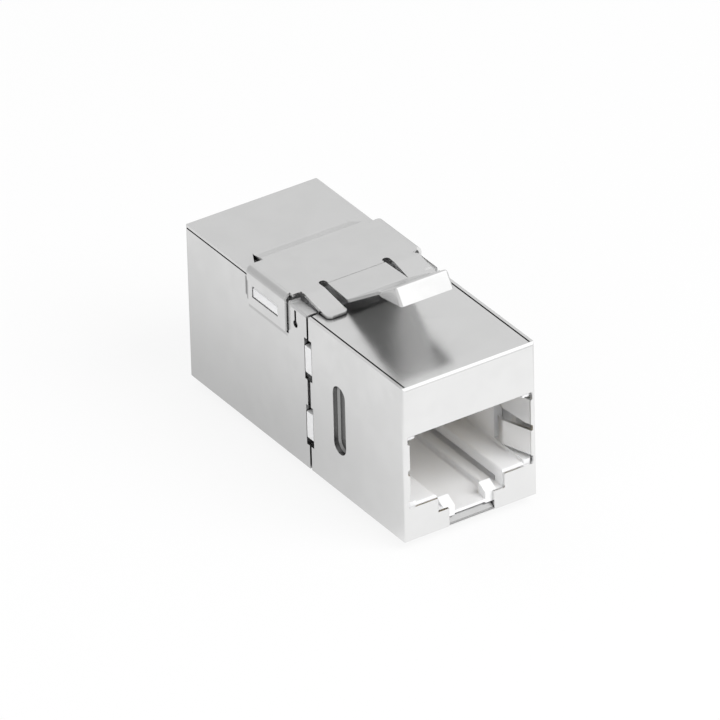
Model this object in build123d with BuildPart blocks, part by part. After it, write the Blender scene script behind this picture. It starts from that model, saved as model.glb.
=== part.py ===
from build123d import *
import os

# A shielded in-line coupler for two eight-way modular plugs, made to snap into a
# keystone opening. Millimetres, +Z up, port faces at both ends of Y, origin under the
# middle of the body, at the tip of the fixed catch.

# Driving dimensions of the shell
BODY_WIDTH = 14.5
BODY_HEIGHT = 16.45
BODY_LENGTH = 36.5
SHEET = 0.3
END_BEND = 0.35
SEAM_DEPTH = 15.8
SEAM_GAP = 0.3
EDGE_GAP = 0.16
CATCH_DROP = 1.0

# Port opening in each end face, heights above the underside of the shell
PORT_HALF = 6.65
PORT_TOP = 11.25
PORT_SILL = 3.6
STEP_HALF = (3.65, 2.48)
STEP_FLOOR = 2.1
RELIEF_OUT = 0.22
SPRING_SPANS = ((4.47, 7.1), (7.75, 10.4))
SPRING_TAPER = 1.1

# Plug bay and latch channel of each housing
BAY_HALF = 5.95
BAY_TOP = 11.2
BAY_FLOOR = 3.8
BAY_DEPTH = 12.9
CHANNEL_HALF = (3.6, 2.4)
CHANNEL_FLOOR = (2.1, 1.45)
LEDGE_ROUND = 0.24
SHOULDER_SPAN = (1.7, 2.9)
SHOULDER_BOTTOM = 1.0
SHOULDER_TOP = (2.1, 2.7)
SHOULDER_DEPTH = 1.5

# Contacts: eight ways at the standard pitch, in two staggered rows
WAYS = 8
PITCH = 1.016
WIRE_WIDTH = 0.46
WIRE_THICK = 0.3
ROW_HEIGHTS = (13.6, 12.6)
BOARD_THICK = 1.2

# Raised deck on top of the rear shell, and the spring latch that grows out of it
DECK_RISE = 0.9
DECK_START = (25.46, 5.77, 6.6)
DECK_FOOT = (28.18, 5.13)
EAR_BEND = 18.0
EAR_END = 14.1
EAR_EDGE_LEFT = 6.0
EAR_EDGE_RIGHT = 6.55
FLAP_FRONT = 19.1
FLAP_REAR = 25.45
FLAP_BOTTOM = 13.4
FLAP_BEND = 0.7
WINDOW_RUN = (20.3, 24.6)
WINDOW_HEIGHTS = (14.35, 15.6)
KEYHOLE = (17.8, 14.7)
TAB_RISE = 0.25
SLOT_X = 3.5
SLOT_REAR = 18.8
SLOT_HALF = 0.38
LATCH_HALF_REAR = 3.15
LATCH_HALF_KNEE = 3.35
LATCH_PIVOT = 18.45
KNEE = 14.9
CREST = (7.65, 5.6)
LIP = (6.58, 4.0)
HEEL = (9.85, 3.5)
NOSE_REAR = 10.75
NOSE_HALF = 2.9
HINGE_CLEARANCE = 0.02
RAMP_SLOPE = (CREST[1] - DECK_RISE) / (KNEE - CREST[0])


def station(depth):
    """Y of a point that lies this far behind the front port face."""
    return depth - BODY_LENGTH / 2


def level(height):
    """Z of a point that lies this far above the underside of the shell."""
    return height + CATCH_DROP


def block(x_span, depth_span, height_span):
    """A plain box between two values each of X, depth and height."""
    centre = Pos(sum(x_span) / 2, station(sum(depth_span) / 2), level(sum(height_span) / 2))
    return centre * Box(
        x_span[1] - x_span[0],
        depth_span[1] - depth_span[0],
        height_span[1] - height_span[0],
        mode=Mode.PRIVATE,
    )


def both_sides(x_span, depth_span, height_span):
    """The same box on the right and, mirrored, on the left."""
    right = block(x_span, depth_span, height_span)
    return [right, right.mirror(Plane.YZ)]


def turned(shape):
    """A copy turned half a turn about the vertical, from the front end to the rear end."""
    return shape.rotate(Axis.Z, 180)


def way_x(way):
    """X of a contact way, counted from 0 at the left of the front port."""
    return (way - (WAYS - 1) / 2) * PITCH


def shell_blank(length):
    """A sheet box open at its inner end, folded with round bends about the port face."""
    with BuildPart() as blank:
        with BuildSketch(Plane.XZ.offset(BODY_LENGTH / 2)):
            with Locations((0, level(BODY_HEIGHT / 2))):
                Rectangle(BODY_WIDTH, BODY_HEIGHT)
        extrude(amount=-length)
        fillet(blank.faces().sort_by(Axis.Y)[0].edges(), END_BEND)
        offset(amount=-SHEET, openings=blank.faces().sort_by(Axis.Y)[-1])
    return blank.part


def port_opening():
    """The stepped opening in a port face, with the reliefs above and below each spring."""
    with BuildPart() as opening:
        with BuildSketch(Plane.XZ.offset(BODY_LENGTH / 2 + 1)):
            with Locations((0, level((PORT_SILL + PORT_TOP) / 2))):
                Rectangle(2 * PORT_HALF, PORT_TOP - PORT_SILL)
            reliefs = (
                (PORT_SILL, SPRING_SPANS[0][0]),
                (SPRING_SPANS[0][1], SPRING_SPANS[1][0]),
                (SPRING_SPANS[1][1], PORT_TOP),
            )
            for low, high in reliefs:
                with Locations((0, level((low + high) / 2))):
                    RectangleRounded(2 * (PORT_HALF + RELIEF_OUT), high - low, 0.2)
            with Locations((0, level((STEP_FLOOR + PORT_SILL) / 2))):
                Rectangle(2 * STEP_HALF[0], PORT_SILL - STEP_FLOOR)
            with Locations((0, level((SHEET + STEP_FLOOR) / 2))):
                Rectangle(2 * STEP_HALF[1], STEP_FLOOR - SHEET)
        extrude(amount=-(1 + END_BEND + SHEET))
    return opening.part


def port_springs():
    """The four earthing springs, folded in from the sides of the port opening."""
    root_depth = SHEET / 2 + 0.05
    with BuildPart() as springs:
        for low, high in SPRING_SPANS:
            with BuildSketch(Plane.XY.offset(level(low))):
                with BuildLine():
                    FilletPolyline(
                        (PORT_HALF + SHEET, station(root_depth)),
                        (PORT_HALF + SHEET / 2, station(root_depth)),
                        (5.72, station(3.3)),
                        (5.98, station(4.2)),
                        radius=(0.18, 0.6),
                    )
                trace(line_width=SHEET)
            extrude(amount=high - low)
        upper = SPRING_SPANS[1][0]
        with BuildSketch(Plane.YZ):
            with BuildLine():
                Polyline(
                    (station(0.7), level(upper)),
                    (station(4.6), level(upper)),
                    (station(4.6), level(upper + SPRING_TAPER)),
                    close=True,
                )
            make_face()
        extrude(amount=BODY_WIDTH / 2, mode=Mode.SUBTRACT)
        mirror(about=Plane.YZ)
    return springs.part


def housing_blank(inner_end):
    """The outside of a jack housing, from behind the port face to its inner end."""
    with BuildPart() as blank:
        with BuildSketch(Plane.XZ.offset(-station(SHEET))):
            with Locations((0, level((SHEET + 16.1) / 2))):
                Rectangle(13.8, 16.1 - SHEET)
        extrude(amount=-(inner_end - SHEET))
        fillet(blank.faces().sort_by(Axis.Y)[0].edges(), 0.35)
    return blank.part


def jack_cavity():
    """What is hollow in a housing: plug bay, latch channel, contact chamber, pockets."""
    with BuildPart() as cavity:
        with BuildSketch(Plane.XZ.offset(BODY_LENGTH / 2)) as bay:
            with BuildLine():
                right = [
                    (BAY_HALF, level(BAY_TOP)),
                    (BAY_HALF, level(BAY_FLOOR)),
                    (CHANNEL_HALF[0], level(BAY_FLOOR)),
                    (CHANNEL_HALF[0], level(CHANNEL_FLOOR[0])),
                    (CHANNEL_HALF[1], level(CHANNEL_FLOOR[0])),
                    (CHANNEL_HALF[1], level(CHANNEL_FLOOR[1])),
                ]
                left = [(-x, z) for x, z in reversed(right)]
                Polyline(*right, *left, close=True)
            make_face()
            fillet(bay.vertices().filter_by(lambda v: v.Y < level(BAY_TOP) - 1), 0.2)
        extrude(amount=-BAY_DEPTH)
        add(block((-5.85, 5.85), (2.4, 18.6), (BAY_TOP - 0.1, 14.05)))
        add(block((-5.85, 5.85), (BAY_DEPTH, 18.6), (3.0, 14.05)))
        add(both_sides((5.5, 6.95), (0, 5.1), (4.1, 10.75)))
        undercut_x = (CHANNEL_HALF[0] - 0.1, 4.3)
        add(both_sides(undercut_x, (SHOULDER_DEPTH, BAY_DEPTH), (1.9, 2.7)))
        add(block((-3.3, 3.3), (0, 6.0), (0, 1.15)))
        with BuildSketch(Plane.YZ):
            with BuildLine():
                round_end = station(SHEET + LEDGE_ROUND)
                round_low = level(BAY_FLOOR - LEDGE_ROUND)
                Polyline(
                    (round_end, level(BAY_FLOOR)),
                    (round_end, level(BAY_FLOOR + 0.3)),
                    (station(0), level(BAY_FLOOR + 0.3)),
                    (station(0), round_low),
                    (station(SHEET), round_low),
                )
                CenterArc((round_end, round_low), LEDGE_ROUND, 90, 90)
            make_face()
        extrude(amount=BAY_HALF, both=True)
    return cavity.part


def plug_shoulders():
    """The two ramped shoulders that the plug's own latch hooks behind, at the mouth."""
    with BuildPart() as shoulders:
        with BuildSketch(Plane.YZ.offset(SHOULDER_SPAN[0])):
            with BuildLine():
                Polyline(
                    (station(SHEET), level(SHOULDER_BOTTOM)),
                    (station(SHEET), level(SHOULDER_TOP[0])),
                    (station(SHOULDER_DEPTH - 0.1), level(SHOULDER_TOP[1])),
                    (station(SHOULDER_DEPTH), level(SHOULDER_TOP[1] - 0.1)),
                    (station(SHOULDER_DEPTH), level(SHOULDER_BOTTOM)),
                    close=True,
                )
            make_face()
        extrude(amount=SHOULDER_SPAN[1] - SHOULDER_SPAN[0])
        mirror(about=Plane.YZ)
    return shoulders.part


def keystone_groove(depth, wall):
    """A groove pressed into a side wall: outline grown by the wall, and this deep."""
    with BuildPart() as groove:
        with BuildSketch(Plane.YZ.offset(BODY_WIDTH / 2 - depth)):
            with Locations((station(10.78), level(7.78))):
                SlotOverall(7.25 + 2 * wall, 2.05 + 2 * wall, rotation=90)
        extrude(amount=depth)
        chamfer(groove.faces().sort_by(Axis.X)[0].edges(), 0.2)
    return groove.part


def nose_hollow():
    """Side outline of the space inside the nose, open below, a sheet inside its faces."""
    lip_slope = (CREST[1] - LIP[1]) / (CREST[0] - LIP[0])
    back_drop = SHEET * (1 + RAMP_SLOPE**2) ** 0.5
    lip_drop = SHEET * (1 + lip_slope**2) ** 0.5
    apex = (lip_drop - back_drop) / (lip_slope + RAMP_SLOPE)
    apex_height = CREST[1] - RAMP_SLOPE * apex - back_drop
    base_height = HEEL[1] - 0.2
    back_base = (CREST[1] - back_drop - base_height) / RAMP_SLOPE
    lip_base = (CREST[1] - lip_drop - base_height) / lip_slope
    outline = (
        (CREST[0] + back_base, base_height),
        (CREST[0] + apex, apex_height),
        (CREST[0] - lip_base, base_height),
    )
    return [(station(depth), level(BODY_HEIGHT + height)) for depth, height in outline]


def latch_nose():
    """The outside of the latch's nose, rounded over its crest and along its cheeks."""
    outline = (
        (NOSE_REAR, DECK_RISE + RAMP_SLOPE * (KNEE - NOSE_REAR)),
        CREST,
        LIP,
        HEEL,
    )
    with BuildPart() as nose:
        with BuildSketch(Plane.YZ):
            with BuildLine():
                points = [(station(depth), level(BODY_HEIGHT + rise)) for depth, rise in outline]
                Polyline(*points, close=True)
            make_face()
        extrude(amount=NOSE_HALF, both=True)
        fillet(nose.edges().filter_by(Axis.X).group_by(Axis.Z)[-1], 0.3)
        rim_low = level(BODY_HEIGHT + LIP[1])
        rims = ShapeList()
        for cheek in nose.faces().filter_by(Axis.X):
            rims += cheek.edges().filter_by(lambda e: e.center().Z > rim_low)
        fillet(rims, 0.25)
    return nose.part


def latch_outline():
    """The plan of the tongue from its pivot to its nose, as a tall prism."""
    half_plan = (
        (LATCH_HALF_REAR, LATCH_PIVOT + 1),
        (LATCH_HALF_KNEE, KNEE),
        (NOSE_HALF, NOSE_REAR),
        (NOSE_HALF, CREST[0] - 1),
    )
    right = [(x, station(depth)) for x, depth in half_plan]
    left = [(-x, y) for x, y in reversed(right)]
    with BuildPart() as prism:
        with BuildSketch(Plane.XY.offset(level(BODY_HEIGHT - 1))):
            with BuildLine():
                Polyline(*right, *left, close=True)
            make_face()
        extrude(amount=8)
    return prism.part


def deck_plan(half_start):
    """Plan of the joggle behind the deck, from this half width to that of its foot."""
    right = [(half_start, station(DECK_START[0] - 0.1)), (DECK_FOOT[1], station(DECK_FOOT[0]))]
    left = [(-x, y) for x, y in reversed(right)]
    return [*right, *left]


def raised_deck():
    """The deck sheet in one strip: joggle up from the shell, deck, and ears at its front."""
    deck_mid = BODY_HEIGHT + DECK_RISE - SHEET / 2
    top_mid = BODY_HEIGHT - SHEET / 2
    ear_mid = BODY_HEIGHT + 0.03 + SHEET / 2
    with BuildPart() as deck:
        with BuildSketch(Plane.YZ):
            with BuildLine():
                FilletPolyline(
                    (station(DECK_FOOT[0] + 1.2), level(top_mid)),
                    (station(DECK_FOOT[0] - 0.3), level(top_mid)),
                    (station(DECK_START[0] + 0.2), level(deck_mid)),
                    (station(EAR_BEND), level(deck_mid)),
                    (station(14.9), level(ear_mid)),
                    (station(EAR_END), level(ear_mid)),
                    radius=(2.0, 2.0, 1.0, 0.5),
                )
            trace(line_width=SHEET)
        extrude(amount=6.95, both=True)
        with BuildSketch(Plane.XY.offset(level(BODY_HEIGHT - 1))):
            with BuildLine():
                Polyline(*deck_plan(DECK_START[1]), close=True)
            make_face()
            with Locations((0, station((DECK_START[0] + EAR_END) / 2 - 1))):
                Rectangle(2 * 6.95, DECK_START[0] - EAR_END + 2)
            with Locations((0, station(DECK_FOOT[0] + 0.5))):
                Rectangle(2 * DECK_FOOT[1], 1.0)
        extrude(amount=3, mode=Mode.INTERSECT)
    return deck.part


def flap_bumps():
    """The bevelled snap bumps that the windows of the flaps catch on."""
    with BuildPart() as bumps:
        run = (WINDOW_RUN[0] + 0.1, WINDOW_RUN[1] - 0.1)
        heights = (WINDOW_HEIGHTS[0] + 0.1, WINDOW_HEIGHTS[1] - 0.1)
        add(both_sides((6.6, 7.5), run, heights))
        outer = bumps.edges().filter_by(Axis.Y).group_by(Axis.Z)[-1]
        chamfer(outer.filter_by(lambda e: abs(e.center().X) > 7.4), 0.22)
    return bumps.part


def contact_wire(way):
    """A spring wire, from its tail in the board round to its free end in the plug bay."""
    row = ROW_HEIGHTS[way % 2]
    turn = (3.75, 4.6)[way % 2]
    with BuildPart() as wire:
        with BuildSketch(Plane.YZ.offset(way_x(way) - WIRE_WIDTH / 2)):
            with BuildLine():
                Line(
                    (station((BODY_LENGTH + BOARD_THICK) / 2), level(row)),
                    (station(turn + 0.3), level(row)),
                )
                FilletPolyline(
                    (station(turn + 0.3), level(row)),
                    (station(turn), level(row - 0.3)),
                    (station(turn), level(11.3)),
                    (station(10.6), level(8.5)),
                    radius=(0, 0.35),
                )
            trace(line_width=WIRE_THICK)
        extrude(amount=WIRE_WIDTH)
    return wire.part


port_hole = port_opening()
snap_bumps = flap_bumps()
nose = latch_nose()
springs = port_springs()
cavity = jack_cavity()
shoulders = plug_shoulders()
groove_metal = keystone_groove(0.95, 0.25)
groove_hollow = keystone_groove(0.7, 0)
front_blank = shell_blank(SEAM_DEPTH - SEAM_GAP / 2)
rear_blank = turned(shell_blank(BODY_LENGTH - SEAM_DEPTH - SEAM_GAP / 2))
housing_body = housing_blank(18.22)

wall_in = BODY_WIDTH / 2 - SHEET
window_spans = ((2.5, 6.8), (9.6, 14.0))
rib_spans = ((3.28, 6.08), (10.35, 13.18))

# Front shell: port face with its springs, four walls folded back, open seams between
# them, half of each seam window, a pressed groove in each side and the fixed catch
with BuildPart() as front_shell:
    add(front_blank)
    add(port_hole, mode=Mode.SUBTRACT)
    add(springs)
    seam_x = (wall_in - EDGE_GAP, wall_in)
    seam_run = (END_BEND, SEAM_DEPTH)
    add(both_sides(seam_x, seam_run, (BODY_HEIGHT - SHEET, BODY_HEIGHT)), mode=Mode.SUBTRACT)
    add(both_sides(seam_x, seam_run, (0, SHEET)), mode=Mode.SUBTRACT)
    wall_x = (wall_in, BODY_WIDTH / 2)
    for low, high in window_spans:
        add(both_sides(wall_x, (15.2, SEAM_DEPTH), (low, high)), mode=Mode.SUBTRACT)
    add(both_sides(wall_x, (15.55, SEAM_DEPTH), (6.8, 9.6)), mode=Mode.SUBTRACT)
    add([groove_metal, groove_metal.mirror(Plane.YZ)])
    add([groove_hollow, groove_hollow.mirror(Plane.YZ)], mode=Mode.SUBTRACT)
    add(block((-4.6, 4.6), (5.4, 8.4), (0, SHEET)), mode=Mode.SUBTRACT)
    with BuildSketch(Plane.YZ):
        with BuildLine():
            FilletPolyline(
                (station(5.0), level(SHEET / 2)),
                (station(5.6), level(SHEET / 2)),
                (station(7.7), level(SHEET / 2 - CATCH_DROP)),
                (station(8.2), level(SHEET / 2 - CATCH_DROP)),
                radius=0.4,
            )
        trace(line_width=SHEET)
    extrude(amount=4.4, both=True)

# Rear shell: the same box turned about, its top made into a raised deck with a flap
# down each side, two ears that lie on the front shell, and slots beside the latch
deck_top = BODY_HEIGHT + DECK_RISE
deck_mid = deck_top - SHEET / 2
with BuildPart() as rear_shell:
    add(rear_blank)
    add(turned(port_hole), mode=Mode.SUBTRACT)
    add(turned(springs))
    side_run = (SEAM_DEPTH, BODY_LENGTH - END_BEND)
    lid_low = BODY_HEIGHT - SHEET
    lip_gap = (lid_low - EDGE_GAP, lid_low)
    add(both_sides((wall_in, BODY_WIDTH / 2), (19.0, side_run[1]), lip_gap), mode=Mode.SUBTRACT)
    add(both_sides((wall_in - EDGE_GAP, wall_in), side_run, (0, SHEET)), mode=Mode.SUBTRACT)
    add(block((-7.25, 7.25), (19.0, DECK_START[0] - 0.1), (lip_gap[0], BODY_HEIGHT)), mode=Mode.SUBTRACT)
    with BuildSketch(Plane.XY.offset(level(lid_low))):
        with BuildLine():
            Polyline(*deck_plan(DECK_START[2]), close=True)
        make_face()
    extrude(amount=SHEET, mode=Mode.SUBTRACT)
    add(block((-6.95, 6.95), (SEAM_DEPTH, 19.0), (lid_low, BODY_HEIGHT)), mode=Mode.SUBTRACT)
    tab_run = (SEAM_DEPTH + SEAM_GAP / 2, 18.9)
    tab_top = BODY_HEIGHT + TAB_RISE
    tab_edges = (EAR_EDGE_LEFT + 0.06, EAR_EDGE_RIGHT + 0.06)
    for side, tab_edge in zip((-1, 1), tab_edges):
        tab_span = sorted((side * tab_edge, side * BODY_WIDTH / 2))
        wall_span = sorted((side * wall_in, side * BODY_WIDTH / 2))
        add(block(tab_span, tab_run, (tab_top - SHEET, tab_top)))
        add(block(wall_span, tab_run, (lid_low - 0.1, tab_top - SHEET + 0.01)))
    fold_edges = rear_shell.edges().filter_by(Axis.Y).filter_by(
        lambda e: abs(abs(e.center().X) - BODY_WIDTH / 2) < 0.01
        and abs(e.center().Z - level(tab_top)) < 0.01
    )
    fillet(fold_edges, 0.2)
    wall_x = (wall_in, BODY_WIDTH / 2)
    for low, high in window_spans:
        add(both_sides(wall_x, (SEAM_DEPTH, 16.4), (low, high)), mode=Mode.SUBTRACT)
    add(both_sides(wall_x, (SEAM_DEPTH, 16.05), (6.8, 9.6)), mode=Mode.SUBTRACT)
    add(both_sides(wall_x, (19.0, 25.75), (14.05, lid_low)), mode=Mode.SUBTRACT)
    add(both_sides(wall_x, (19.0, 19.36), (13.1, 14.4)), mode=Mode.SUBTRACT)
    slit_run = (KEYHOLE[0] - 0.15, KEYHOLE[0] + 0.15)
    add(both_sides(wall_x, slit_run, (KEYHOLE[1], lid_low)), mode=Mode.SUBTRACT)
    with BuildSketch(Plane.YZ.offset(-BODY_WIDTH / 2 - 1)):
        with Locations((station(KEYHOLE[0]), level(KEYHOLE[1]))):
            Circle(0.36)
    extrude(amount=BODY_WIDTH + 2, mode=Mode.SUBTRACT)

    add(raised_deck())
    deck_cut = (BODY_HEIGHT + 0.02, deck_top + 0.1)
    ear_run = (EAR_END - 0.1, 18.65)
    add(block((-7.2, -EAR_EDGE_LEFT), ear_run, deck_cut), mode=Mode.SUBTRACT)
    add(block((EAR_EDGE_RIGHT, 7.2), ear_run, deck_cut), mode=Mode.SUBTRACT)

    for side in (-1, 1):
        with BuildSketch(Plane.XZ.offset(-station(FLAP_REAR))):
            with BuildLine():
                flap_x = side * (BODY_WIDTH / 2 + 0.03 + SHEET / 2)
                FilletPolyline(
                    (side * 6.0, level(deck_mid)),
                    (flap_x, level(deck_mid)),
                    (flap_x, level(FLAP_BOTTOM)),
                    radius=FLAP_BEND - SHEET / 2,
                )
            trace(line_width=SHEET)
        extrude(amount=FLAP_REAR - FLAP_FRONT)
        flap_span = sorted((side * 7.2, side * 7.8))
        add(block(flap_span, WINDOW_RUN, WINDOW_HEIGHTS), mode=Mode.SUBTRACT)

    with BuildSketch(Plane.XY.offset(level(BODY_HEIGHT + 0.02))):
        with BuildLine():
            ear_relief = ((6.2, 18.5), (7.1, 19.05), (7.1, 17.4))
            Polyline(*[(x, station(depth)) for x, depth in ear_relief], close=True)
        make_face()
        for side in (-1, 1):
            with BuildLine():
                Polyline(
                    (side * (SLOT_X - SLOT_HALF), station(SLOT_REAR)),
                    (side * (SLOT_X + SLOT_HALF), station(SLOT_REAR)),
                    (side * (SLOT_X + 0.22), station(EAR_END - 0.2)),
                    (side * (SLOT_X - SLOT_HALF), station(EAR_END - 0.2)),
                    close=True,
                )
            make_face()
            with Locations((side * SLOT_X, station(SLOT_REAR))):
                Circle(SLOT_HALF)
        with Locations((0, station((LATCH_PIVOT + EAR_END - 0.2) / 2))):
            Rectangle(2 * SLOT_X, LATCH_PIVOT - EAR_END + 0.2)
    extrude(amount=DECK_RISE + 0.2, mode=Mode.SUBTRACT)
    with BuildSketch(Plane.YZ):
        with Locations((station(LATCH_PIVOT), level(deck_mid))):
            Circle(SHEET / 2 + HINGE_CLEARANCE)
    extrude(amount=LATCH_HALF_KNEE, both=True, mode=Mode.SUBTRACT)

    ear_corners = rear_shell.edges().filter_by(Axis.Z).filter_by(
        lambda e: abs(e.center().Y - station(EAR_END)) < 0.02
    )
    fillet(ear_corners, 0.5)

# Spring latch: a strip between the slots, a knee, a ramp and a hollow nose with cheeks
with BuildPart() as latch_tongue:
    with BuildSketch(Plane.YZ):
        with BuildLine():
            FilletPolyline(
                (station(LATCH_PIVOT), level(deck_mid)),
                (station(KNEE), level(deck_mid)),
                (station(NOSE_REAR - 0.6), level(deck_mid + RAMP_SLOPE * (KNEE - NOSE_REAR + 0.6))),
                radius=0.9,
            )
        trace(line_width=SHEET)
        with Locations((station(LATCH_PIVOT), level(deck_mid))):
            Circle(SHEET / 2)
    extrude(amount=LATCH_HALF_KNEE, both=True)
    add(latch_outline(), mode=Mode.INTERSECT)
    add(nose)
    with BuildSketch(Plane.YZ):
        with BuildLine():
            Polyline(*nose_hollow(), close=True)
        make_face()
    extrude(amount=NOSE_HALF - SHEET, both=True, mode=Mode.SUBTRACT)

# Housings: one white jack body in each shell, with the ribs and bumps that show in the
# seam windows and in the windows of the flaps
with BuildPart() as front_housing:
    add(housing_body)
    add(cavity, mode=Mode.SUBTRACT)
    add(shoulders)
    add(both_sides((6.15, 6.95), (14.9, 16.7), (2.2, 14.3)), mode=Mode.SUBTRACT)
    for low, high in rib_spans:
        add(both_sides((6.1, 7.23), (15.27, 16.33), (low, high)))
    add(both_sides((6.2, 6.95), (9.45, 12.1), (3.8, 11.8)), mode=Mode.SUBTRACT)
    add(both_sides((6.2, 6.95), (17.3, 18.3), (13.8, 15.9)), mode=Mode.SUBTRACT)
    add(block((-5.0, 5.0), (15.0, 18.3), (14.1, 16.2)), mode=Mode.SUBTRACT)

with BuildPart() as rear_housing:
    add(turned(housing_body))
    add(turned(cavity), mode=Mode.SUBTRACT)
    add(turned(shoulders))
    add(block((-5.0, 5.0), (18.2, 19.8), (14.1, 16.2)), mode=Mode.SUBTRACT)
    add(both_sides((6.2, 6.95), (18.2, 20.3), (13.0, 16.15)), mode=Mode.SUBTRACT)
    add(both_sides((6.2, 6.95), (25.1, 25.95), (13.8, 16.15)), mode=Mode.SUBTRACT)
    add(snap_bumps)

# Contact carriers: a comb over the plug bay and a block that closes the bay's inner end
with BuildPart() as front_contact_carrier:
    add(block((-5.8, 5.8), (2.6, 17.65), (BAY_TOP + 0.05, 14.0)))
    add(block((-5.8, 5.8), (BAY_DEPTH + 0.05, 17.65), (3.0, BAY_TOP + 0.1)))
    for way in range(WAYS):
        slot_span = (way_x(way) - 0.31, way_x(way) + 0.31)
        add(block(slot_span, (3.3, 12.5), (11.0, 14.1)), mode=Mode.SUBTRACT)
        groove_low = ROW_HEIGHTS[way % 2] - WIRE_THICK / 2
        add(block(slot_span, (12.4, 17.8), (groove_low, 14.1)), mode=Mode.SUBTRACT)

with BuildPart() as rear_contact_carrier:
    add(turned(front_contact_carrier.part))

# Circuit board across the middle, with a hole for every contact tail
board_front = (BODY_LENGTH - BOARD_THICK) / 2
with BuildPart() as circuit_board:
    add(block((-5.75, 5.75), (board_front, board_front + BOARD_THICK), (3.0, 14.0)))
    with BuildSketch(Plane.XZ.offset(BOARD_THICK)):
        for row in ROW_HEIGHTS:
            with Locations((0, level(row))):
                with GridLocations(PITCH, 1, WAYS, 1):
                    Circle(0.36)
    extrude(amount=-2 * BOARD_THICK, mode=Mode.SUBTRACT)

# Contacts: eight spring wires a side, numbered as in a plug, 1 at the left of each port
contacts = {}
for way in range(WAYS):
    wire = contact_wire(way)
    contacts[f"front_contact_{way + 1}"] = wire
    contacts[f"rear_contact_{way + 1}"] = turned(wire)

pieces = {
    "front_shell": front_shell.part,
    "rear_shell": rear_shell.part,
    "latch_tongue": latch_tongue.part,
    "front_housing": front_housing.part,
    "rear_housing": rear_housing.part,
    "front_contact_carrier": front_contact_carrier.part,
    "rear_contact_carrier": rear_contact_carrier.part,
    "circuit_board": circuit_board.part,
    **contacts,
}

os.makedirs("parts", exist_ok=True)
for name, piece in pieces.items():
    piece.label = name
    export_step(piece, f"parts/{name}.step")
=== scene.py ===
"""Studio scene of a shielded in-line network coupler in the keystone format.

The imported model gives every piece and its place, in metres: +X across the body, +Y from
the front port to the rear port, +Z up, with the tip of the fixed catch on the floor.
"""

import logging
import math
from collections.abc import Callable, Iterable, Mapping, Sequence
from dataclasses import dataclass
from enum import Enum
from typing import Protocol

import bpy
from mathutils import Matrix, Vector


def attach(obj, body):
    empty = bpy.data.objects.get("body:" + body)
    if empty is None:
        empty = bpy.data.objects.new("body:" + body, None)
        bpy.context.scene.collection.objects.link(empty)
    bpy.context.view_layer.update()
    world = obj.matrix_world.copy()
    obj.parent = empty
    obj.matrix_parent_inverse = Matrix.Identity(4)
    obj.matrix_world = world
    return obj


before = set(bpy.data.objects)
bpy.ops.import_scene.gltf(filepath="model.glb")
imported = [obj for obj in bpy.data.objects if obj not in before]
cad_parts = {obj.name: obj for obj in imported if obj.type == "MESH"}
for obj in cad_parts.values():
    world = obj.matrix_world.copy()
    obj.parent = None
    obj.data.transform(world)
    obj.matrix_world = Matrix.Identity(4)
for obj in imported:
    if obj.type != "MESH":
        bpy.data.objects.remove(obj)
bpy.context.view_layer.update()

LOG = logging.getLogger("coupler")

MM = 0.001
Colour = tuple[float, float, float]
Point = tuple[float, float, float]
Span = tuple[float, float]


# Shader maths


class Wire:
    """An output socket of a shader node that can be used in Python expressions."""

    def __init__(self, graph: "Graph", socket: bpy.types.NodeSocket) -> None:
        """Keeps the socket and the graph that it belongs to."""
        self.graph = graph
        self.socket = socket

    def _math(self, operation: str, first: "Value", second: "Value") -> "Wire":
        """Adds one Math node.

        Args:
            operation: The Math node's operation.
            first: Its first value.
            second: Its second value.

        Returns:
            The node's output.
        """
        return self.graph.add("ShaderNodeMath", {"operation": operation}, {0: first, 1: second})

    def __add__(self, other: "Value") -> "Wire":
        """self + other."""
        return self._math("ADD", self, other)

    def __radd__(self, other: "Value") -> "Wire":
        """other + self."""
        return self._math("ADD", other, self)

    def __sub__(self, other: "Value") -> "Wire":
        """self - other."""
        return self._math("SUBTRACT", self, other)

    def __rsub__(self, other: "Value") -> "Wire":
        """other - self."""
        return self._math("SUBTRACT", other, self)

    def __mul__(self, other: "Value") -> "Wire":
        """self * other."""
        return self._math("MULTIPLY", self, other)

    def __rmul__(self, other: "Value") -> "Wire":
        """other * self."""
        return self._math("MULTIPLY", other, self)

    def __abs__(self) -> "Wire":
        """The value without its sign."""
        return self._math("ABSOLUTE", self, 0.0)

    def sibling(self, output: str) -> "Wire":
        """Another output of the same node."""
        return Wire(self.graph, self.socket.node.outputs[output])

    def ramp(
        self, low: float, high: float, to_low: float = 0.0, to_high: float = 1.0
    ) -> "Wire":
        """Maps a span of values smoothly onto another one.

        Args:
            low: Value that gives to_low.
            high: Value that gives to_high.
            to_low: Result at low and beyond it.
            to_high: Result at high and beyond it.

        Returns:
            The mapped value.
        """
        settings = {"interpolation_type": "SMOOTHSTEP"}
        values = {0: self, 1: low, 2: high, 3: to_low, 4: to_high}
        return self.graph.add("ShaderNodeMapRange", settings, values)


Value = Wire | float | int | Sequence[float]


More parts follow.
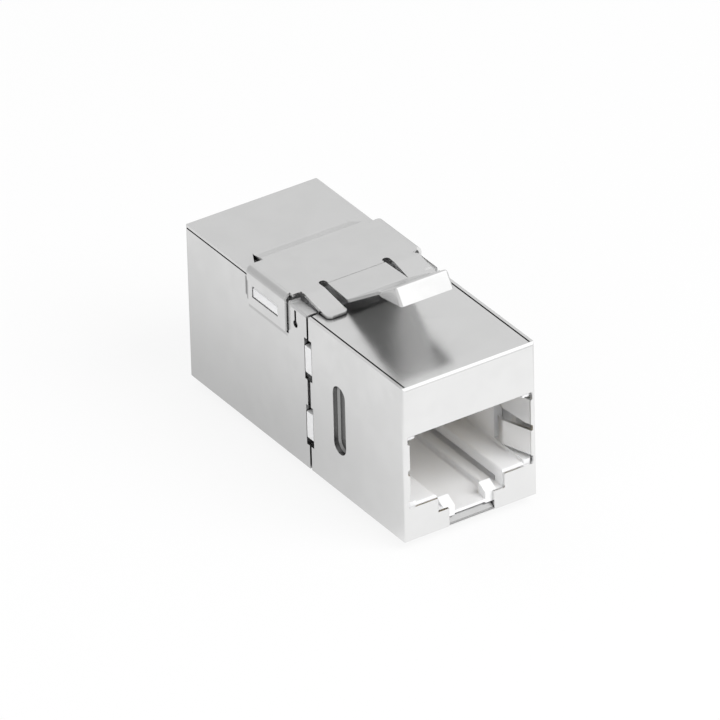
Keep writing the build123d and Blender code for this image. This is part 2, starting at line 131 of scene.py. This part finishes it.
class Graph:
    """The node tree of a material or of the world, emptied and ready to fill."""

    def __init__(self, tree: bpy.types.NodeTree) -> None:
        """Clears the tree and keeps it."""
        tree.nodes.clear()
        self.tree = tree

    def add(
        self,
        kind: str,
        settings: Mapping[str, object] | None = None,
        values: Mapping[int | str, "Value"] | None = None,
        output: int | str = 0,
    ) -> Wire:
        """Adds a node of any type.

        Args:
            kind: The node's type.
            settings: Its own properties, set before its sockets.
            values: Numbers, vectors or wires for its input sockets.
            output: The output that the caller goes on with.

        Returns:
            That output, or the first input of a node that has no outputs.
        """
        node = self.tree.nodes.new(kind)
        for name, setting in (settings or {}).items():
            setattr(node, name, setting)
        for name, value in (values or {}).items():
            socket = node.inputs[name]
            if isinstance(value, Wire):
                self.tree.links.new(value.socket, socket)
            else:
                socket.default_value = value
        return Wire(self, node.outputs[output] if node.outputs else node.inputs[0])

    def mix(self, factor: "Value", first: "Value", second: "Value") -> Wire:
        """Mixes two colours.

        Args:
            factor: Share of the second colour.
            first: Colour at 0.
            second: Colour at 1.

        Returns:
            The mixed colour.
        """
        values = {0: factor, 6: opaque(first), 7: opaque(second)}
        return self.add("ShaderNodeMix", {"data_type": "RGBA"}, values, 2)

    def object_coords(self) -> Wire:
        """Object coordinates of the piece, in metres."""
        return self.add("ShaderNodeTexCoord", output="Object")

    def stretched(self, scale: Point) -> Wire:
        """Object coordinates scaled on each axis.

        Args:
            scale: Factor along X, Y and Z, in features per metre.

        Returns:
            The scaled coordinates.
        """
        values = {"Vector": self.object_coords(), "Scale": scale}
        return self.add("ShaderNodeMapping", None, values)

    def noise(self, vector: Wire, detail: float = 2.0, roughness: float = 0.5) -> Wire:
        """Noise in a space that is already scaled.

        Args:
            vector: Where to read the noise.
            detail: Octaves.
            roughness: Weight of the finer octaves.

        Returns:
            A value about 0.5.
        """
        values = {"Vector": vector, "Scale": 1.0, "Detail": detail, "Roughness": roughness}
        return self.add("ShaderNodeTexNoise", None, values)

    def bump(
        self, height: Wire, distance: float, strength: float, normal: Wire | None = None
    ) -> Wire:
        """A bumped normal.

        Args:
            height: Height between 0 and 1.
            distance: What a height of 1 stands for, in metres.
            strength: Share of the effect.
            normal: Normal to start from, or None for the surface's own.

        Returns:
            The normal.
        """
        values: dict[int | str, Value] = {
            "Height": height,
            "Distance": distance,
            "Strength": strength,
        }
        if normal is not None:
            values["Normal"] = normal
        return self.add("ShaderNodeBump", None, values)

    def axes(self, vector: Wire) -> tuple[Wire, Wire, Wire]:
        """The three parts of a vector.

        Args:
            vector: The vector.

        Returns:
            Its X, Y and Z.
        """
        across = self.add("ShaderNodeSeparateXYZ", None, {0: vector}, "X")
        return across, across.sibling("Y"), across.sibling("Z")

    def inside(self, zone: "Zone") -> Wire:
        """Where a piece lies in a zone: the zone's strength inside it, 0 outside.

        Args:
            zone: The zone.

        Returns:
            The mask.
        """
        across, along, height = self.axes(self.object_coords())
        masks: list[Wire] = []
        for part, low, high in zip((abs(across), along, height), zone.low, zone.high):
            rise = part.ramp((low - zone.fade) * MM, low * MM)
            fall = part.ramp((high + zone.fade) * MM, high * MM)
            masks.append(rise * fall)
        return math.prod(masks, start=zone.strength)

    def openness(self, reach: float) -> Wire:
        """How open a place is: 1 on a free face, towards 0 down in a gap.

        Args:
            reach: How far a wall still counts, in metres.

        Returns:
            The openness.
        """
        return self.add("ShaderNodeAmbientOcclusion", {"samples": 8}, {"Distance": reach}, "AO")

    def out_of_gaps(self, reach: float, span: Span, lit_zones: Iterable["Zone"]) -> Wire:
        """Tells free faces from gaps: 0 down in a gap, 1 or more on the rest.

        Args:
            reach: How far a wall still counts, in metres.
            span: Openness that gives 0, and openness that gives 1.
            lit_zones: Zones that count as free faces, whatever stands near them.

        Returns:
            The mask.
        """
        mask = self.openness(reach).ramp(*span)
        for zone in lit_zones:
            mask = mask + self.inside(zone)
        return mask

    def rounded_normal(self, radius: float) -> Wire:
        """The surface's normal, rounded over its edges by a small radius in metres."""
        return self.add("ShaderNodeBevel", {"samples": 6}, {"Radius": radius})

    def facing(self, direction: Wire, aim: Point) -> Wire:
        """Cosine between a direction and the way to a point.

        Args:
            direction: Unit direction.
            aim: Where the point lies, at any distance.

        Returns:
            The cosine.
        """
        values = {0: direction, 1: Vector(aim).normalized()}
        return self.add("ShaderNodeVectorMath", {"operation": "DOT_PRODUCT"}, values, "Value")

    def ray_masks(self) -> tuple[Wire, Wire]:
        """Tells the rays that show a surface from those that light another one.

        Returns:
            1 on rays from the camera, straight or through a clear piece, and 1 on
            mirrored rays.
        """
        straight = self.add("ShaderNodeLightPath", output="Is Camera Ray")
        clear = straight.sibling("Is Transmission Ray")
        return straight + clear, straight.sibling("Is Glossy Ray")

    def surface(self, shader: Wire) -> None:
        """Joins a shader to the tree's output."""
        self.add("ShaderNodeOutputMaterial", None, {"Surface": shader})


def opaque(colour: "Value") -> "Value":
    """The colour with an alpha of 1, or the wire as it is."""
    return colour if isinstance(colour, Wire) else (*colour, 1.0)


# Finishes


@dataclass(frozen=True)
class Zone:
    """A box in the coupler's space, in millimetres, the same on both sides of X.

    Its mask falls from strength to 0 over fade, outside the box.
    """

    low: Point
    high: Point
    fade: float = 0.1
    strength: float = 1.0


class Finish(Protocol):
    """Anything that can make a material under a name."""

    def material(self, name: str) -> bpy.types.Material:
        """Makes the material."""


def blank_material(name: str) -> tuple[bpy.types.Material, Graph]:
    """A new node material and its empty graph.

    Args:
        name: Name of the material.

    Returns:
        The material and its graph.
    """
    material = bpy.data.materials.new(name)
    material.use_nodes = True
    return material, Graph(material.node_tree)


@dataclass(frozen=True)
class TinnedSheet:
    """Satin tinned steel sheet with rolling lines and faint clouding, with painted shade in its
    gaps, shaded zones and undersides.
    """

    tint: Colour = (0.80, 0.80, 0.798)
    clouded_tint: Colour = (0.775, 0.775, 0.773)
    # Painted shade: this near-black colour is mixed in down in gaps, in the shaded zones and on
    # faces that look down.
    painted_shade_tint: Colour = (0.02, 0.02, 0.02)
    cloud_scale: float = 330.0
    cloud_range: Span = (0.35, 0.65)
    cloud_share: float = 0.7
    line_scale: Point = (5200.0, 160.0, 5200.0)
    line_depth: float = 0.001 * MM
    line_strength: float = 0.3
    roughness: float = 0.22
    cloud_swing: float = 0.04
    line_swing: float = 0.024
    matt_gain: float = 0.5
    gap_reach: float = 0.5 * MM
    gap_range: Span = (0.15, 0.85)
    edge_radius: float = 0.05 * MM
    lit_zones: tuple[Zone, ...] = ()
    shaded_zones: tuple[Zone, ...] = ()
    matt_zones: tuple[Zone, ...] = ()
    # Painted shade on faces that look down: how bright they stay, and the span of normals over
    # which it fades in.
    painted_underside_level: float = 1.0
    painted_underside_range: Span = (-0.35, -0.15)

    def coloured(self, graph: Graph, clouds: Wire, lines: Wire) -> Wire:
        """Colours the sheet, with painted shade in its gaps and shaded zones and on its
        undersides.

        Args:
            graph: The material's graph.
            clouds: Where the sheet is clouded.
            lines: The rolling lines.

        Returns:
            The colour.
        """
        marks = clouds * self.cloud_share + lines * (1 - self.cloud_share)
        tint = graph.mix(marks, self.tint, self.clouded_tint)
        # Painted shade: the dark tint is mixed in where ambient occlusion finds walls close by,
        # and in the shaded zones.
        free = graph.out_of_gaps(self.gap_reach, self.gap_range, self.lit_zones)
        tint = graph.mix(free, self.painted_shade_tint, tint)
        for zone in self.shaded_zones:
            tint = graph.mix(graph.inside(zone), tint, self.painted_shade_tint)
        # Painted shade on faces that look downwards.
        if self.painted_underside_level < 1:
            normal = graph.add("ShaderNodeNewGeometry", output="Normal")
            upper = graph.axes(normal)[2].ramp(*self.painted_underside_range, self.painted_underside_level, 1.0)
            tint = graph.mix(upper, self.painted_shade_tint, tint)
        return tint

    def roughened(self, graph: Graph, clouds: Wire, lines: Wire) -> Wire:
        """Roughens the sheet about its mean roughness, and more in its matt zones.

        Args:
            graph: The material's graph.
            clouds: Where the sheet is clouded.
            lines: The rolling lines.

        Returns:
            The roughness.
        """
        smoothest = self.roughness - (self.cloud_swing + self.line_swing) / 2
        roughness = clouds * self.cloud_swing + lines * self.line_swing + smoothest
        for zone in self.matt_zones:
            roughness = roughness + graph.inside(zone) * self.matt_gain
        return roughness

    def material(self, name: str) -> bpy.types.Material:
        """Makes the material.

        Args:
            name: Name of the material.

        Returns:
            The material.
        """
        material, graph = blank_material(name)
        line_space = graph.stretched(self.line_scale)
        lines = graph.noise(line_space, detail=3.0, roughness=0.6)
        cloud_space = graph.stretched((self.cloud_scale,) * 3)
        clouds = graph.noise(cloud_space, detail=3.0, roughness=0.55)
        clouds = clouds.ramp(*self.cloud_range)
        rounded = graph.rounded_normal(self.edge_radius)
        values = {
            "Base Color": self.coloured(graph, clouds, lines),
            "Metallic": 1.0,
            "Roughness": self.roughened(graph, clouds, lines),
            "Normal": graph.bump(lines, self.line_depth, self.line_strength, rounded),
        }
        graph.surface(graph.add("ShaderNodeBsdfPrincipled", None, values))
        return material


@dataclass(frozen=True)
class MouldedPlastic:
    """White or coloured moulded plastic with a faint moulding texture, and painted shade in its
    gaps.
    """

    colour: Colour
    flow_colour: Colour
    painted_shade_colour: Colour
    flow_scale: float = 260.0
    flow_range: Span = (0.3, 0.7)
    grain_scale: float = 9000.0
    grain_depth: float = 0.003 * MM
    grain_strength: float = 0.4
    roughness: float = 0.42
    flow_swing: float = 0.08
    grain_swing: float = 0.06
    gap_reach: float = 1.2 * MM
    gap_range: Span = (0.2, 0.7)
    lit_zones: tuple[Zone, ...] = ()

    def material(self, name: str) -> bpy.types.Material:
        """Makes the material.

        Args:
            name: Name of the material.

        Returns:
            The material.
        """
        material, graph = blank_material(name)
        flow = graph.noise(graph.stretched((self.flow_scale,) * 3))
        grain = graph.noise(graph.stretched((self.grain_scale,) * 3))
        colour = graph.mix(flow.ramp(*self.flow_range), self.colour, self.flow_colour)
        # Painted shade: the dark colour is mixed in where ambient occlusion finds walls close
        # by.
        free = graph.out_of_gaps(self.gap_reach, self.gap_range, self.lit_zones)
        smoothest = self.roughness - (self.flow_swing + self.grain_swing) / 2
        values = {
            "Base Color": graph.mix(free, self.painted_shade_colour, colour),
            "Roughness": flow * self.flow_swing + grain * self.grain_swing + smoothest,
            "Normal": graph.bump(grain, self.grain_depth, self.grain_strength),
        }
        graph.surface(graph.add("ShaderNodeBsdfPrincipled", None, values))
        return material


@dataclass(frozen=True)
class GoldPlate:
    """Gold-plated spring wire, drawn along its length."""

    tint: Colour = (0.91, 0.71, 0.37)
    worn_tint: Colour = (0.85, 0.65, 0.34)
    line_scale: Point = (9000.0, 500.0, 9000.0)
    line_depth: float = 0.002 * MM
    line_strength: float = 0.3
    smoothest: float = 0.16
    line_swing: float = 0.12

    def material(self, name: str) -> bpy.types.Material:
        """Makes the material.

        Args:
            name: Name of the material.

        Returns:
            The material.
        """
        material, graph = blank_material(name)
        drawn = graph.noise(graph.stretched(self.line_scale))
        values = {
            "Base Color": graph.mix(drawn, self.tint, self.worn_tint),
            "Metallic": 1.0,
            "Roughness": drawn * self.line_swing + self.smoothest,
            "Normal": graph.bump(drawn, self.line_depth, self.line_strength),
        }
        graph.surface(graph.add("ShaderNodeBsdfPrincipled", None, values))
        return material


@dataclass(frozen=True)
class BoardLaminate:
    """Green lacquered glass-fibre laminate with its weave just showing."""

    colour: Colour = (0.03, 0.19, 0.09)
    weave_colour: Colour = (0.06, 0.27, 0.13)
    thread_scale: float = 1900.0
    wave_scale: float = 0.5
    weave_depth: float = 0.005 * MM
    weave_strength: float = 0.4
    smoothest: float = 0.3
    weave_swing: float = 0.1

    def threads(self, graph: Graph, direction: str) -> Wire:
        """Threads that follow each other along one axis.

        Args:
            graph: The material's graph.
            direction: That axis, X, Y or Z.

        Returns:
            A value between 0 and 1.
        """
        settings = {"wave_type": "BANDS", "bands_direction": direction}
        scaled = graph.stretched((self.thread_scale,) * 3)
        values = {"Vector": scaled, "Scale": self.wave_scale}
        return graph.add("ShaderNodeTexWave", settings, values, "Fac")

    def material(self, name: str) -> bpy.types.Material:
        """Makes the material.

        Args:
            name: Name of the material.

        Returns:
            The material.
        """
        material, graph = blank_material(name)
        weave = self.threads(graph, "X") * self.threads(graph, "Z")
        values = {
            "Base Color": graph.mix(weave, self.colour, self.weave_colour),
            "Roughness": weave * self.weave_swing + self.smoothest,
            "Normal": graph.bump(weave, self.weave_depth, self.weave_strength),
        }
        graph.surface(graph.add("ShaderNodeBsdfPrincipled", None, values))
        return material


# Pieces of the coupler

# Zones where the painted shade of gaps is lifted: the port bays, the flap window, the tab top
# and the hinge line.
FRONT_PORT = Zone((0.0, -19.0, 0.5), (7.15, -10.0, 12.6))
REAR_PORT = Zone((0.0, 10.0, 0.5), (7.15, 19.0, 12.6))
FRONT_BAY = Zone((0.0, -19.0, 0.5), (7.15, -4.9, 12.6))
REAR_BAY = Zone((0.0, 4.9, 0.5), (7.15, 19.0, 12.6))
FLAP_WINDOW = Zone((6.5, 1.8, 15.1), (8.0, 6.6, 16.9))
# Painted shadows: a soft painted shadow behind the flap's rear edge and a faint one under its
# foot.
FLAP_REAR = Zone((7.1, 7.2, 15.0), (7.5, 7.8, 16.7), fade=0.3, strength=0.7)
FLAP_FOOT = Zone((7.15, 1.0, 13.8), (7.4, 7.4, 14.4), fade=0.15, strength=0.2)
TAB_TOP = Zone((5.9, -2.5, 17.3), (7.4, 0.6, 17.9))
HINGE_LINE = Zone((0.0, -0.2, 17.8), (3.0, 0.6, 18.7))
# Painted shade down in the pressed groove of the side wall.
GROOVE = Zone((6.3, -8.6, 5.0), (7.15, -6.3, 12.6), fade=0.05, strength=0.58)


class Body(Enum):
    """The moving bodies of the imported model."""

    COUPLER = "body"
    LATCH = "latch"


class Port(Enum):
    """The two ends of the coupler, each by the word that its pieces' names start with."""

    FRONT = "front"
    REAR = "rear"

    def piece(self, name: str) -> str:
        """Full name of one of this end's pieces."""
        return f"{self.value}_{name}"


def report(piece: str, body: Body) -> None:
    """Logs a piece as done, with the body that it moves with."""
    LOG.info("%s done, on body %s", piece, body.value)


def deselect_all() -> None:
    """Leaves no object selected."""
    for thing in bpy.context.selected_objects:
        thing.select_set(False)


def select_where(piece: bpy.types.Object, test: Callable[[Vector], bool]) -> None:
    """Selects the points of a mesh that pass a test, and the edges between them.

    Args:
        piece: The piece, in object mode.
        test: Says of a point's place whether it is wanted.
    """
    mesh = piece.data
    for point in mesh.vertices:
        point.select = test(point.co)
    for part in (*mesh.edges, *mesh.polygons):
        part.select = all(mesh.vertices[index].select for index in part.vertices)


def paint(nodes: Iterable[str], finish: Finish, name: str) -> None:
    """Gives CAD nodes a finish, in their own slots.

    Args:
        nodes: Names of the nodes.
        finish: Their finish.
        name: Name of the material that it makes.
    """
    material = finish.material(name)
    for node in nodes:
        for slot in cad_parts[node].material_slots:
            slot.material = material


@dataclass
class SheetShells:
    """The two folded halves of the shield."""

    # Painted light: the front shell's tint is lighter than the rear shell's, to brighten its
    # faces. Both finishes also carry painted shade in gaps and shaded zones.
    front_finish: TinnedSheet = TinnedSheet(
        tint=(0.84, 0.84, 0.838),
        clouded_tint=(0.815, 0.815, 0.813),
        gap_reach=0.6 * MM,
        gap_range=(0.35, 0.95),
        lit_zones=(FRONT_PORT,),
        shaded_zones=(GROOVE,),
    )
    rear_finish: TinnedSheet = TinnedSheet(
        gap_range=(0.35, 0.95),
        edge_radius=0.02 * MM,
        lit_zones=(REAR_PORT, FLAP_WINDOW, TAB_TOP, HINGE_LINE),
        shaded_zones=(FLAP_REAR, FLAP_FOOT),
        matt_zones=(TAB_TOP,),
    )

    def dress(self) -> None:
        """Gives both halves their sheet finish."""
        finishes = {Port.FRONT: self.front_finish, Port.REAR: self.rear_finish}
        for port, finish in finishes.items():
            shell = port.piece("shell")
            paint((shell,), finish, f"tinned_{shell}")
            report(shell, Body.COUPLER)


@dataclass
class SillStrips:
    """The bent edge of the bottom sheet that shows through the cut under each port."""

    width: float = 4.9 * MM
    foot: float = 0.1 * MM
    foot_place: Point = (0.0, -18.15 * MM, 1.36 * MM)
    slope: Point = (0.0, 0.72 * MM, 0.70 * MM)
    thickness: float = 0.12 * MM
    rounding: float = 0.04 * MM
    # Painted shade: the tint is much darker than the shell's, for the shade under the port
    # sill.
    finish: TinnedSheet = TinnedSheet(
        tint=(0.50, 0.50, 0.50), clouded_tint=(0.47, 0.47, 0.47), gap_range=(0.1, 0.6)
    )

    def fold_strip(self) -> bpy.types.Object:
        """Folds the front strip: a narrow foot, and a slope extruded from its inner edge.

        Returns:
            The strip, finished and in place.
        """
        deselect_all()
        bpy.ops.mesh.primitive_plane_add(size=1.0, location=self.foot_place)
        strip = bpy.context.object
        strip.name = Port.FRONT.piece("sill_strip")
        strip.scale = (self.width, self.foot, 1.0)
        bpy.ops.object.transform_apply(location=True, rotation=False, scale=True)
        select_where(strip, lambda place: place.y > self.foot_place[1])
        bpy.ops.object.mode_set(mode="EDIT")
        bpy.ops.mesh.select_mode(type="EDGE")
        bpy.ops.mesh.extrude_region_move(TRANSFORM_OT_translate={"value": self.slope})
        bpy.ops.object.mode_set(mode="OBJECT")
        wall = strip.modifiers.new("wall", "SOLIDIFY")
        wall.thickness = self.thickness
        wall.offset = 0.0
        bpy.ops.object.modifier_apply(modifier=wall.name)
        rounded = strip.modifiers.new("rounding", "BEVEL")
        rounded.width = self.rounding
        rounded.segments = 2
        bpy.ops.object.modifier_apply(modifier=rounded.name)
        return strip

    def build(self) -> None:
        """Makes the strip of the front port, and a copy turned about for the rear port."""
        front = self.fold_strip()
        front.data.materials.append(self.finish.material("tinned_sill_in_painted_shade"))
        rear = front.copy()
        rear.data = front.data.copy()
        rear.name = Port.REAR.piece("sill_strip")
        bpy.context.scene.collection.objects.link(rear)
        deselect_all()
        rear.select_set(True)
        bpy.context.view_layer.objects.active = rear
        rear.rotation_euler = (0.0, 0.0, math.pi)
        bpy.ops.object.transform_apply(location=False, rotation=True, scale=False)
        for strip in (front, rear):
            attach(strip, Body.COUPLER.value)
            report(strip.name, Body.COUPLER)


@dataclass
class SpringLatch:
    """The tongue that snaps behind the edge of a keystone opening."""

    finish: TinnedSheet = TinnedSheet(
        line_scale=(5200.0, 220.0, 900.0),
        roughness=0.25,
        edge_radius=0.02 * MM,
        lit_zones=(HINGE_LINE,),
        # Painted shade: faces that look down are darkened to 0.55 of the tint.
        painted_underside_level=0.55,
    )

    def dress(self) -> None:
        """Gives the tongue its sheet finish."""
        paint(("latch_tongue",), self.finish, "tinned_latch")
        report("latch_tongue", Body.LATCH)


@dataclass
class JackInterior:
    """Everything inside the shield: housings, carriers, board and contacts."""

    ways: int = 8
    # The gap colours of housing and carrier are painted shade, mixed in where walls stand close
    # by.
    housing: MouldedPlastic = MouldedPlastic(
        colour=(0.91, 0.912, 0.918),
        flow_colour=(0.89, 0.892, 0.898),
        painted_shade_colour=(0.073, 0.073, 0.073),
        lit_zones=(FRONT_BAY, REAR_BAY, FLAP_WINDOW),
    )
    carrier: MouldedPlastic = MouldedPlastic(
        colour=(0.66, 0.66, 0.65),
        flow_colour=(0.60, 0.60, 0.59),
        painted_shade_colour=(0.053, 0.053, 0.052),
        roughness=0.5,
    )
    laminate: BoardLaminate = BoardLaminate()
    plating: GoldPlate = GoldPlate()

    def contact_names(self) -> list[str]:
        """Names of all contact wires."""
        ways = range(1, self.ways + 1)
        return [port.piece(f"contact_{way}") for port in Port for way in ways]

    def dress(self) -> None:
        """Gives each inner piece its finish."""
        housings = [port.piece("housing") for port in Port]
        carriers = [port.piece("contact_carrier") for port in Port]
        contacts = self.contact_names()
        paint(housings, self.housing, "white_housing")
        paint(carriers, self.carrier, "grey_carrier")
        paint(("circuit_board",), self.laminate, "green_laminate")
        paint(contacts, self.plating, "gold_plate")
        for piece in (*housings, *carriers, "circuit_board", *contacts):
            report(piece, Body.COUPLER)


# Studio


@dataclass(frozen=True)
class PaleFloor:
    """Floor that looks white and takes a shadow; in the metal's mirror image it carries painted
    shade, greyer beside the coupler.

    Spans run along Y, or out to either side, in metres from the coupler's middle.
    """

    colour: Colour = (0.85, 0.85, 0.85)
    shown: float = 0.85
    mirrored: float = 0.85
    level: float = 1.035
    beside_along: Span = (-0.025, 0.010)
    beside_shade: float = -0.13
    corner_along: Span = (-0.018, -0.013)
    corner_share: float = 0.65
    close_share: float = 0.35
    close_out: Span = (0.026, 0.008)
    close_shade: float = -0.31
    far_along: Span = (-0.02, 0.02)
    far_least: float = 0.45
    far_out: Span = (0.024, 0.034)
    far_shade: float = -0.35

    def mirrored_level(self, graph: Graph) -> Wire:
        """How bright the floor is where the metal mirrors it, with painted shade beside the
        coupler.

        Args:
            graph: The floor's graph.

        Returns:
            The brightness, 1 for white.
        """
        across, along, _ = graph.axes(graph.object_coords())
        out = abs(across)
        beside = along.ramp(*self.beside_along)
        corner = along.ramp(*self.corner_along, 0.0, self.corner_share)
        close = (beside * self.close_share + corner) * out.ramp(*self.close_out)
        far = along.ramp(*self.far_along, self.far_least, 1.0) * out.ramp(*self.far_out)
        shade = beside * self.beside_shade + close * self.close_shade + far * self.far_shade
        return shade + self.level

    def material(self, name: str) -> bpy.types.Material:
        """Makes the material.

        Args:
            name: Name of the material.

        Returns:
            The material.
        """
        material, graph = blank_material(name)
        straight, glossy = graph.ray_masks()
        level = straight + glossy * self.mirrored_level(graph)
        lit = graph.add("ShaderNodeBsdfDiffuse", None, {"Color": opaque(self.colour)})
        glow = graph.add("ShaderNodeEmission", None, {"Strength": level})
        share = straight * self.shown + glossy * self.mirrored
        graph.surface(graph.add("ShaderNodeMixShader", None, {0: share, 1: lit, 2: glow}))
        return material


@dataclass(frozen=True)
class SkyPatch:
    """A soft round patch of the surroundings, by the cosines at its rim and core."""

    aim: Point
    cosines: Span

    def mask(self, graph: Graph, direction: Wire) -> Wire:
        """1 in the patch's core, 0 outside its rim."""
        return graph.facing(direction, self.aim).ramp(*self.cosines)


@dataclass(frozen=True)
class Surroundings:
    """White surroundings, with brighter and darker patches where the metal mirrors them."""

    ambient: float = 0.66
    mirrored: float = 0.95
    overhead: SkyPatch = SkyPatch((0.62, -0.20, 0.76), (0.79, 0.86))
    ahead: SkyPatch = SkyPatch((0.46, -0.74, 0.50), (0.945, 0.975))
    bright_gain: float = 0.7
    behind: SkyPatch = SkyPatch((-0.60, 0.65, 0.45), (0.72, 0.95))
    dark_gain: float = -0.26

    def build(self) -> None:
        """Makes the world."""
        world = bpy.data.worlds.new("studio_world")
        bpy.context.scene.world = world
        world.use_nodes = True
        graph = Graph(world.node_tree)
        straight, glossy = graph.ray_masks()
        direction = graph.add("ShaderNodeTexCoord", output="Generated")
        overhead = self.overhead.mask(graph, direction)
        ahead = self.ahead.mask(graph, direction)
        bright = (overhead + ahead).ramp(0.0, 1.0)
        dark = self.behind.mask(graph, direction)
        mirrored = bright * self.bright_gain + dark * self.dark_gain + self.mirrored
        lighting = 1 - straight - glossy
        strength = straight + glossy * mirrored + lighting * self.ambient
        background = graph.add("ShaderNodeBackground", None, {"Strength": strength})
        graph.add("ShaderNodeOutputWorld", None, {"Surface": background})


@dataclass(frozen=True)
class SoftLamp:
    """A round area lamp: its place and size in metres, its power in watts."""

    name: str
    place: Point
    size: float
    power: float

    def hang(self, target: Vector) -> None:
        """Hangs the lamp and turns it to a point, out of the metal's sight.

        Args:
            target: The point, in metres.
        """
        light = bpy.data.lights.new(self.name, "AREA")
        light.shape = "DISK"
        light.size = self.size
        light.energy = self.power
        holder = bpy.data.objects.new(self.name, light)
        holder.visible_glossy = False
        aim = target - Vector(self.place)
        turn = aim.to_track_quat("-Z", "Y").to_matrix().to_4x4()
        holder.matrix_world = Matrix.Translation(self.place) @ turn
        bpy.context.scene.collection.objects.link(holder)


@dataclass(frozen=True)
class Viewpoint:
    """Where the photograph was taken from, in degrees, millimetres and pixels."""

    azimuth: float = -32.752
    elevation: float = 31.466
    roll: float = -1.493
    distance: float = 1018.2
    target: Point = (0.0, 0.0, 9.225)
    aim_offset: tuple[float, float] = (0.014, 0.168)
    focal_pixels: float = 11020.0
    image_pixels: float = 720.0
    film_width: float = 36.0

    def camera_axes(self) -> tuple[Vector, Vector, Vector]:
        """Works out which way the camera is turned, with its roll.

        Returns:
            Unit vectors to its right, its top and its back.
        """
        azimuth, elevation, roll = map(
            math.radians, (self.azimuth, self.elevation, self.roll)
        )
        level = math.cos(elevation)
        back = Vector(
            (math.sin(azimuth) * level, -math.cos(azimuth) * level, math.sin(elevation))
        )
        right = Vector((0, 0, 1)).cross(back).normalized()
        above = back.cross(right)
        turned_right = math.cos(roll) * right + math.sin(roll) * above
        turned_up = math.cos(roll) * above - math.sin(roll) * right
        return turned_right, turned_up, back

    def place_camera(self) -> None:
        """Stands the camera there and makes it the scene's."""
        right, above, back = self.camera_axes()
        place = Vector(self.target) + back * self.distance
        place -= right * self.aim_offset[0] + above * self.aim_offset[1]
        lens = bpy.data.cameras.new("camera")
        lens.sensor_width = self.film_width
        lens.lens = self.focal_pixels / self.image_pixels * self.film_width
        holder = bpy.data.objects.new("camera", lens)
        axes = Matrix((right, above, back)).transposed().to_4x4()
        holder.matrix_world = Matrix.Translation(place * MM) @ axes
        bpy.context.scene.collection.objects.link(holder)
        bpy.context.scene.camera = holder


@dataclass
class Studio:
    """Floor, surroundings, lamps and camera."""

    floor_half: float = 3.0
    floor_finish: PaleFloor = PaleFloor()
    surroundings: Surroundings = Surroundings()
    lamps: tuple[SoftLamp, ...] = (
        SoftLamp("lamp_high", (-0.10, 0.25, 0.50), 0.5, 0.4),
        SoftLamp("lamp_left", (-0.45, -0.15, 0.25), 0.5, 0.7),
        SoftLamp("lamp_front", (0.20, -0.42, 0.47), 0.5, 3.1),
    )
    viewpoint: Viewpoint = Viewpoint()

    def build_floor(self) -> None:
        """Lays the floor."""
        deselect_all()
        bpy.ops.mesh.primitive_plane_add(size=2 * self.floor_half, location=(0, 0, 0))
        floor = bpy.context.object
        floor.name = "floor"
        floor.data.materials.append(self.floor_finish.material("pale_floor"))

    def build(self) -> None:
        """Sets the whole studio up."""
        self.build_floor()
        self.surroundings.build()
        for lamp in self.lamps:
            lamp.hang(Vector(self.viewpoint.target) * MM)
        self.viewpoint.place_camera()
        bpy.context.scene.view_settings.view_transform = "Standard"
        LOG.info("studio done")


def main() -> None:
    """Builds and dresses the coupler, then sets the studio up around it."""
    logging.basicConfig(level=logging.INFO)
    SheetShells().dress()
    SillStrips().build()
    SpringLatch().dress()
    JackInterior().dress()
    Studio().build()


if __name__ == "__main__":
    main()
